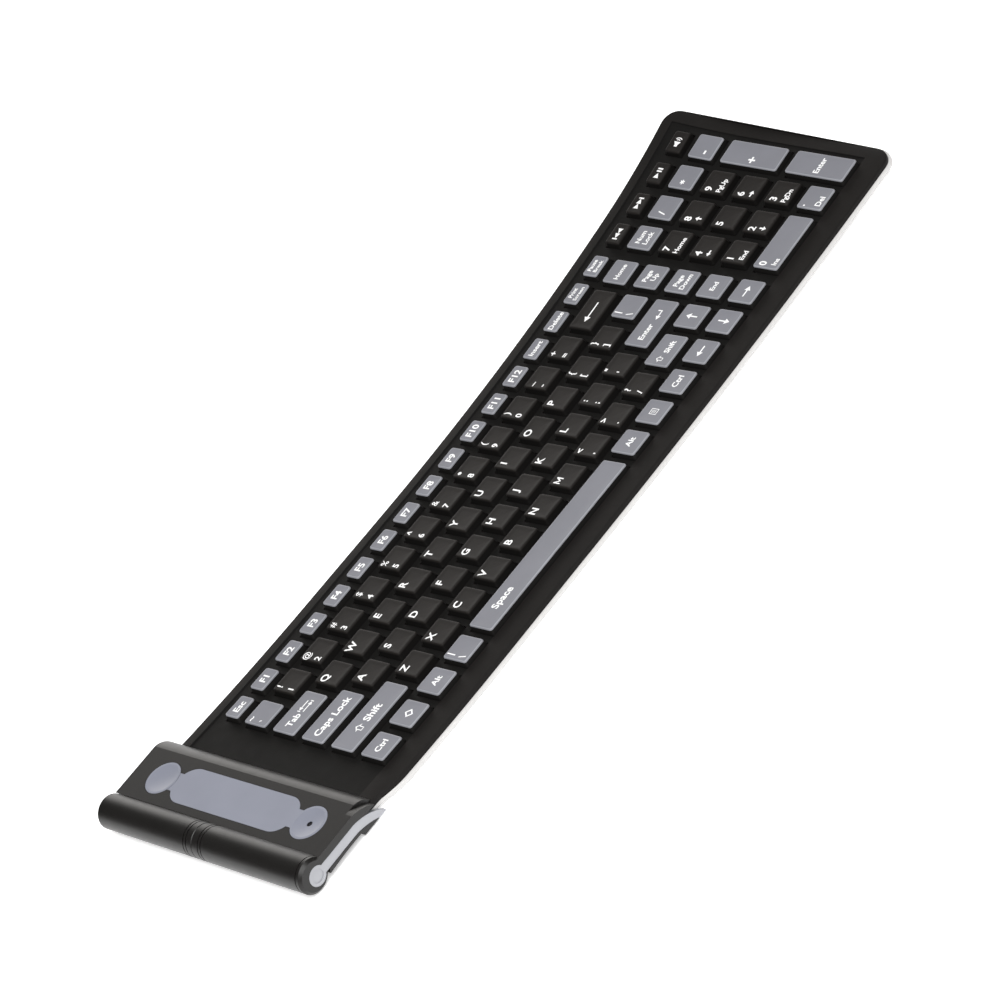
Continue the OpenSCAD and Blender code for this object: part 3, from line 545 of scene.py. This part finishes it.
KEY_CORNER = 1.1
TOP_ROUND = 0.45
DISH, DISH_RUN = 0.16, 2.4


def dish_level(inset):
    """Height of a key's hollowed top at a distance in from its edge."""
    t = max(0.0, min(1.0, (inset - TOP_ROUND) / DISH_RUN))
    return KEY_N - DISH * t * t * (3 - 2 * t)


def key_loops(w, d, two_tone):
    """Loops up the outside of one key, each with the finish above it: 0 side, darkened with painted shade, 1
    top, 2 the painted highlight on the rim of a grey top.
    """
    def loop(n, inset=0.0):
        grow = 2 * (DRAFT * (KEY_N - n) - inset)
        return rounded_rectangle(w + grow, d + grow, max(0.25, KEY_CORNER - inset), n)

    # Finish 2 is the lighter grey band of painted highlight round the edge of a grey top
    rim = 2 if two_tone else 1
    loops = [(loop(FOOT_N), 0), (loop(CAP_N - 0.15), 0), (loop(CAP_N, 0.12 if two_tone else 0.0), rim)]
    if two_tone:
        loops.append((loop(CAP_N + 0.05, 0.02), rim))
    loops.append((loop(KEY_N - TOP_ROUND), rim))
    for a in (30, 60, 90):
        turn = math.radians(a)
        loops.append((loop(KEY_N - TOP_ROUND + TOP_ROUND * math.sin(turn), TOP_ROUND * (1 - math.cos(turn))),
                      rim if a < 90 else 1))
    for inset in (0.9, 1.5, 2.1, 2.8):
        loops.append((rounded_rectangle(w - 2 * inset, d - 2 * inset, 0.4, dish_level(inset)), 1))
    return loops


def key_bank(name, keys):
    two_tone = name not in ALL_BLACK
    points, faces, finishes = [], [], []
    for s, y, w, d in keys:
        place = key_frame(s, y)
        loops = key_loops(w, d, two_tone)
        size = len(loops[0][0])
        first = len(points)
        for loop, _ in loops:
            points.extend(place @ p for p in loop)
        for i in range(len(loops) - 1):
            a = first + i * size
            for j in range(size):
                k = (j + 1) % size
                faces.append((a + j, a + k, a + size + k, a + size + j))
                finishes.append(loops[i][1])
        last = first + (len(loops) - 1) * size
        faces.append(tuple(range(last, last + size)))
        faces.append(tuple(range(first + size - 1, first - 1, -1)))
        finishes += [1, 0]
    # Walls take the darker black of painted shade, and grey tops get a lighter rim of painted highlight
    tops = [key_grey, key_rim_highlight] if two_tone else [key_black]
    obj = new_object(name + "_tops", points, faces, [key_side_shaded] + tops, finishes, 40)
    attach(obj, name)
    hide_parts(name)
    return obj


for name, keys in BANKS.items():
    key_bank(name, keys)


# ---------------------------------------------------------------- legends
def text_shape(words, weight):
    """Points and faces of a word in Blender's own font, at size 1."""
    curve = bpy.data.curves.new("word", "FONT")
    curve.body = words
    curve.offset = weight
    curve.resolution_u = 3
    curve.fill_mode = "FRONT"
    obj = bpy.data.objects.new("word", curve)
    bpy.context.scene.collection.objects.link(obj)
    graph = bpy.context.evaluated_depsgraph_get()
    mesh = bpy.data.meshes.new_from_object(obj.evaluated_get(graph))
    points = [(v.co.x, v.co.y) for v in mesh.vertices]
    faces = [tuple(p.vertices) for p in mesh.polygons]
    bpy.data.objects.remove(obj)
    bpy.data.curves.remove(curve)
    bpy.data.meshes.remove(mesh)
    return points, faces


CAP_HEIGHT = max(p[1] for p in text_shape("H", 0)[0])
# How much the strokes of the font are widened, and the signs whose narrow gaps take less
WEIGHT, FINE_WEIGHT = 0.026, 0.01
NARROW_GAPS = "@#$%&"
shape_store = {}


def word(words, height):
    """A word with capitals of that height in millimetres, its box centred on the origin."""
    if words == "*":
        return star(height * 0.6)
    if words == "M":
        return letter_m(height)
    key = (words, height)
    if key not in shape_store:
        points, faces = text_shape(words, FINE_WEIGHT if words in NARROW_GAPS else WEIGHT)
        scale = height / CAP_HEIGHT
        points = [(x * scale, y * scale) for x, y in points]
        cx = (min(p[0] for p in points) + max(p[0] for p in points)) / 2
        shape_store[key] = ([(x - cx, y - height / 2) for x, y in points], faces)
    return shape_store[key]


def outline_shape(*outlines):
    """Flat shapes from lists of corner points."""
    points, faces = [], []
    for outline in outlines:
        faces.append(tuple(range(len(points), len(points) + len(outline))))
        points.extend(outline)
    return points, faces


def bar(x0, y0, x1, y1):
    return [(x0, y0), (x1, y0), (x1, y1), (x0, y1)]


def turned(outline, degrees):
    c, s = math.cos(math.radians(degrees)), math.sin(math.radians(degrees))
    return [(x * c - y * s, x * s + y * c) for x, y in outline]


def star(size):
    """An asterisk of three crossed strokes."""
    return outline_shape(*(turned(bar(-size / 2, -0.3, size / 2, 0.3), a) for a in (0, 60, 120)))


def letter_m(height):
    """A bold capital M, drawn as one outline because the font's own closes up when it is made bolder."""
    a, t, h = 0.49 * height, 0.16 * height, height / 2
    return outline_shape([(-a, -h), (t - a, -h), (t - a, 0.24 * h), (0, -0.76 * h), (a - t, 0.24 * h),
                          (a - t, -h), (a, -h), (a, h), (a - t, h), (0, -0.2 * h), (t - a, h), (-a, h)])


def arrow(length, head, shaft, turn=0):
    """An arrow centred on the origin, pointing along +x turned by turn degrees."""
    tip, neck, side, wing = length / 2, length / 2 - head, shaft / 2, head / 2 + shaft / 2
    return turned([(-tip, -side), (neck, -side), (neck, -wing), (tip, 0),
                   (neck, wing), (neck, side), (-tip, side)], turn)


def sound_wave(radius):
    """A bent stroke of the speaker sign."""
    steps, half_angle, stroke, centre = 8, 50, 0.45, 0.1
    angles = [math.radians(half_angle * (2 * k / steps - 1)) for k in range(steps + 1)]
    outer = [(centre + (radius + stroke) * math.cos(a), (radius + stroke) * math.sin(a)) for a in angles]
    inner = [(centre + radius * math.cos(a), radius * math.sin(a)) for a in reversed(angles)]
    return outer + inner


def shift_arrow(size):
    """A hollow block arrow pointing up."""
    a, b, t = size / 2, size * 0.25, size * 0.09
    return outline_shape(
        [(-a, 0), (0, a), (0, a - 2 * t), (-a + 2.6 * t, t), (-a + 2.6 * t, 0)],
        [(0, a), (a, 0), (a - 2.6 * t, 0), (a - 2.6 * t, t), (0, a - 2 * t)],
        bar(-a, 0, -b, t), bar(b, 0, a, t), bar(-b, -a, -b + t, t), bar(b - t, -a, b, t),
        bar(-b, -a, b, -a + t))


def tab_arrows(w):
    """Two arrows with end stops, one each way."""
    t, rise = 0.45, 1.2
    left = [(x, y + rise) for x, y in arrow(w, 1.7, 0.55, 180)]
    right = [(x, y - rise) for x, y in arrow(w, 1.7, 0.55, 0)]
    return outline_shape(left, right, bar(-w / 2 - t - 0.1, rise - 0.9, -w / 2 - 0.1, rise + 0.9),
                         bar(w / 2 + 0.1, -rise - 0.9, w / 2 + 0.1 + t, 0.9 - rise))


def enter_arrow(w):
    return outline_shape(arrow(w, 2.2, 0.6, 180), bar(w / 2 - 0.6, 0, w / 2, 2.2))


def menu_sign():
    t = 0.35
    return outline_shape(bar(-1.7, -2, 1.7, -2 + t), bar(-1.7, 2 - t, 1.7, 2), bar(-1.7, -2, -1.7 + t, 2),
                         bar(1.7 - t, -2, 1.7, 2), bar(-0.9, 0.7, 0.9, 1.0), bar(-0.9, -0.1, 0.9, 0.2),
                         bar(-0.9, -0.9, 0.9, -0.6))


def diamond(size):
    a, b = size / 2, size / 2 - 0.9
    return outline_shape([(-a, 0), (0, -a), (0, -b), (-b, 0)], [(0, -a), (a, 0), (b, 0), (0, -b)],
                         [(a, 0), (0, a), (0, b), (b, 0)], [(0, a), (-a, 0), (-b, 0), (0, b)])


def triangle(x, size, way):
    return [(x - way * size / 2, -size / 2), (x + way * size / 2, 0), (x - way * size / 2, size / 2)]


def media_sign(kind):
    if kind == "back":
        return outline_shape(bar(-3.4, -1.4, -2.7, 1.4), triangle(-1.3, 2.8, -1), triangle(1.5, 2.8, -1))
    if kind == "forward":
        return outline_shape(bar(2.7, -1.4, 3.4, 1.4), triangle(1.3, 2.8, 1), triangle(-1.5, 2.8, 1))
    if kind == "play":
        return outline_shape(triangle(-1.4, 2.8, 1), bar(0.6, -1.4, 1.4, 1.4), bar(2.0, -1.4, 2.8, 1.4))
    return outline_shape(bar(-2.6, -0.8, -1.5, 0.8), [(-1.5, -0.8), (0.1, -1.8), (0.1, 1.8), (-1.5, 0.8)],
                         sound_wave(0.9), sound_wave(1.9))


def moved(shape, u, v):
    points, faces = shape
    return [(x + u, y + v) for x, y in points], faces


# Heights of a lone letter, of one of a pair and of a pad digit, and their places from the key's centre
SINGLE, PAIR, DIGIT = 3.65, 3.2, 3.6
CORNER_U, CORNER_V = -3.4, 2.7
EDGE_U = -4.1


def letter(c):
    return [moved(word(c, SINGLE), CORNER_U, CORNER_V)]


def pair(upper, lower):
    return [moved(word(upper, PAIR), EDGE_U, 3.9), moved(word(lower, PAIR), EDGE_U, -3.1)]


def centred(words, height=2.9):
    return [word(words, height)]


def two_lines(upper, lower, height=2.5):
    return [moved(word(upper, height), 0, height * 0.85), moved(word(lower, height), 0, -height * 0.85)]


def digit(upper, lower=None):
    shapes = [moved(word(upper, DIGIT), EDGE_U, 2.3)]
    if lower:
        shapes.append(moved(word(lower, 2.5), -1.4, -3.5))
    return shapes


def digit_arrow(upper, turn):
    small_arrow = outline_shape(arrow(3.6, 1.8, 0.8, turn))
    return [moved(word(upper, DIGIT), EDGE_U, 2.3), moved(small_arrow, -3.2, -3.2)]


def full_arrow(turn):
    return [outline_shape(arrow(6.2, 2.5, 0.7, turn))]


LEGENDS = {
    "esc_key": [centred("Esc", 3.2)],
    "tab_key": [[moved(word("Tab", 3.3), -4.4, 0), moved(tab_arrows(6.0), 3.8, 0)]],
    "caps_lock_key": [centred("Caps Lock", 3.5)],
    "left_shift_key": [[moved(shift_arrow(4.4), -6.6, 0), moved(word("Shift", 3.7), 2.2, 0)]],
    "space_key": [[moved(word("Space", 3.6), -31.2, 0.9)]],
    "backspace_key": [[moved(outline_shape(arrow(11.5, 2.8, 0.7, 180)), -1.3, 0)]],
    "enter_key": [[moved(word("Enter", 2.9), -5.2, -0.4), moved(enter_arrow(5.6), 4.9, -0.9)]],
    "right_shift_key": [[moved(shift_arrow(3.6), -5.2, 0), moved(word("Shift", 2.7), 2.1, -0.8)]],
    "function_keys": [centred(f"F{k}", 3.5) for k in range(1, 13)]
    + [centred("Insert", 2.6), centred("Delete", 2.6), two_lines("Print", "Screen", 2.0)],
    "number_keys": [pair(a, b) for a, b in zip("!@#$%^&*()_+", "1234567890-=")],
    "upper_letter_keys": [letter(c) for c in "QWERTYUIOP"] + [pair("{", "["), pair("}", "]")],
    "home_row_keys": [letter(c) for c in "ASDFGHJKL"] + [pair(":", ";"), pair('"', "'")],
    "lower_letter_keys": [letter(c) for c in "ZXCVBNM"] + [pair("<", ","), pair(">", "."), pair("?", "/")],
    "modifier_keys": [centred("Ctrl"), [diamond(4.6)], centred("Alt"), pair("|", "\\"), centred("Alt"),
                      [menu_sign()], centred("Ctrl")],
    "symbol_keys": [pair("~", "`"), pair("|", "\\")],
    "arrow_keys": [full_arrow(180), full_arrow(-90), full_arrow(90)],
    "navigation_keys": [two_lines("Pause", "Break", 2.0), centred("Home", 2.4), two_lines("Page", "Up"),
                        two_lines("Page", "Down"), centred("End", 2.4), full_arrow(0)],
    "pad_digit_keys": [digit("7", "Home"), digit_arrow("4", 180), digit("1", "End"),
                       digit_arrow("8", 90), digit("5"), digit_arrow("2", -90),
                       [media_sign("back")], [media_sign("forward")]],
    "pad_lock_keys": [two_lines("Num", "Lock"), [moved(word("/", 3.8), -3.2, 0)]],
    "pad_zero_key": [[moved(word("0", DIGIT), -13.0, 2.3), moved(word("Ins", 2.5), -11.2, -3.5)]],
    "end_digit_keys": [digit("9", "PgUp"), digit_arrow("6", 0), digit("3", "PgDn"),
                       [media_sign("play")], [media_sign("speaker")]],
    "end_symbol_keys": [[moved(star(2.6), -2.8, 0.1)], [moved(word("-", 4.8), -2.9, -0.5)],
                        [moved(word(".", 3.8), EDGE_U - 1, 4.6), moved(word("Del", 2.8), -1.6, -3.5)]],
    "pad_plus_key": [[moved(word("+", 4.8), -2.9, -0.6)]],
    "pad_enter_key": [[moved(word("Enter", 2.8), 0, 0)]],
}
# Height of the print above the key top
PRINT_T = 0.03


def legend_bank(name, keys):
    points, faces = [], []
    for (s, y, w, d), shapes in zip(keys, LEGENDS[name]):
        place = key_frame(s, y)
        for flat, flat_faces in shapes:
            first = len(points)
            for u, v in flat:
                level = dish_level(min(w / 2 - abs(u), d / 2 - abs(v)))
                points.append(place @ Vector((u, v, level + PRINT_T)))
            faces.extend(tuple(first + i for i in f) for f in flat_faces)
    obj = new_object(name + "_legends", points, faces, [legend_white])
    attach(obj, name)
    return obj


for name, keys in BANKS.items():
    legend_bank(name, keys)

# ---------------------------------------------------------------- floor, light and camera
floor_pale = material("floor_pale", (0.96, 0.96, 0.96), 0.9, mottle=0.01, mottle_scale=3)
floor_pale.node_tree.nodes["Principled BSDF"].inputs["Emission Color"].default_value = (1, 1, 1, 1)
floor_pale.node_tree.nodes["Principled BSDF"].inputs["Emission Strength"].default_value = 0.4
FLOOR_HALF = 4
floor_corners = [(x * FLOOR_HALF, y * FLOOR_HALF, 0) for x, y in ((-1, -1), (1, -1), (1, 1), (-1, 1))]
floor = new_object("floor", floor_corners, [(0, 1, 2, 3)], [floor_pale])

world = bpy.data.worlds.new("studio")
bpy.context.scene.world = world
world.use_nodes = True
bpy.context.scene.view_settings.view_transform = "Standard"
sky, sky_links = world.node_tree.nodes, world.node_tree.links
# A dim room with one bright wall, low on the far right, full inside one angle and gone outside the other
BRIGHT_SIDE = Vector((0.66, 0.74, 0.08)).normalized()
FULL_ANGLE, FADE_ANGLE = math.radians(18), math.radians(35.5)
DIM, BRIGHT = 0.1, 2.7
direction = sky.new("ShaderNodeTexCoord")
nearness = sky.new("ShaderNodeVectorMath")
nearness.operation = "DOT_PRODUCT"
nearness.inputs[1].default_value = BRIGHT_SIDE
glow = sky.new("ShaderNodeMapRange")
glow.interpolation_type = "SMOOTHSTEP"
glow.inputs["From Min"].default_value = math.cos(FADE_ANGLE)
glow.inputs["From Max"].default_value = math.cos(FULL_ANGLE)
glow.inputs["To Min"].default_value = DIM
glow.inputs["To Max"].default_value = BRIGHT
sky_links.new(direction.outputs["Generated"], nearness.inputs[0])
sky_links.new(nearness.outputs["Value"], glow.inputs["Value"])
sky_links.new(glow.outputs["Result"], sky["Background"].inputs["Strength"])
sky["Background"].inputs["Color"].default_value = (1, 0.975, 0.95, 1)


def softbox(name, place, target, size, power):
    light = bpy.data.lights.new(name, "AREA")
    light.shape = "RECTANGLE"
    light.size, light.size_y = size
    light.energy = power
    obj = bpy.data.objects.new(name, light)
    obj.location = place
    obj.rotation_euler = (Vector(target) - Vector(place)).to_track_quat("-Z", "Y").to_euler()
    bpy.context.scene.collection.objects.link(obj)


softbox("key_light", (-0.45, -0.6, 1.4), (0, 0, 0), (1.8, 1.8), 46)

camera_data = bpy.data.cameras.new("camera")
camera = bpy.data.objects.new("camera", camera_data)
bpy.context.scene.collection.objects.link(camera)
camera_data.sensor_width = 36
camera_data.lens = 125.1
camera_data.clip_end = 20
camera.location = (-0.6178, -1.0602, 0.8034)
camera.rotation_euler = [math.radians(a) for a in (52.080, 27.093, -49.370)]
bpy.context.scene.camera = camera
